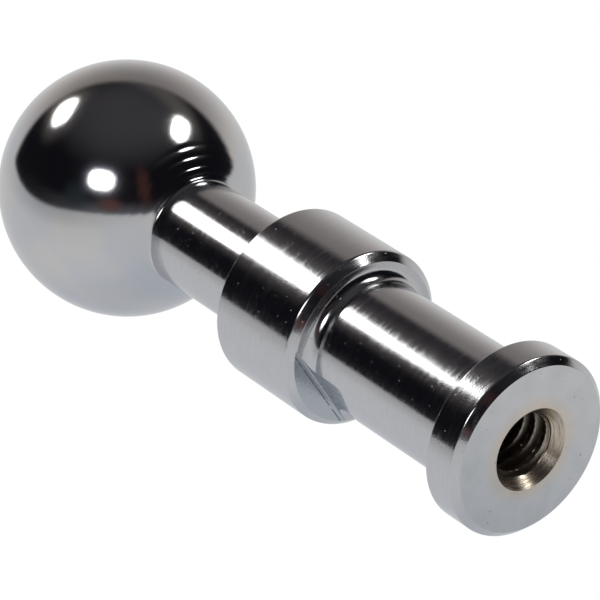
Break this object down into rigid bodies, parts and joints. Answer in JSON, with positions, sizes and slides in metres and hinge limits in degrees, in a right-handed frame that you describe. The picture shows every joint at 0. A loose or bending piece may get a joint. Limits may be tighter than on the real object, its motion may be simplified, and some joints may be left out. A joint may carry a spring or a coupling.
{
  "type": "ball-ended mounting stud",
  "caption": "Chrome-plated ball stud: polished ball on a slim neck, and a turned stem with a collar, a lock groove, an end flange and a tapped, countersunk end.",
  "frame": {"origin": "centre of the end face round the tapped hole, where the stud stands upright", "axes": "+Z along the stem from the tapped end to the ball; +X the way the small milled flat beside the collar faces"},
  "size_m": [0.022, 0.022, 0.0635],
  "materials": {
    "mirror_chrome": "mirror-polished chrome plate",
    "turned_chrome": "fine-turned chrome plate over nickel, satin on the end face"
  },
  "bodies": {
    "root": {"ball": "mirror_chrome", "stem": "turned_chrome"}
  },
  "joints": []
}
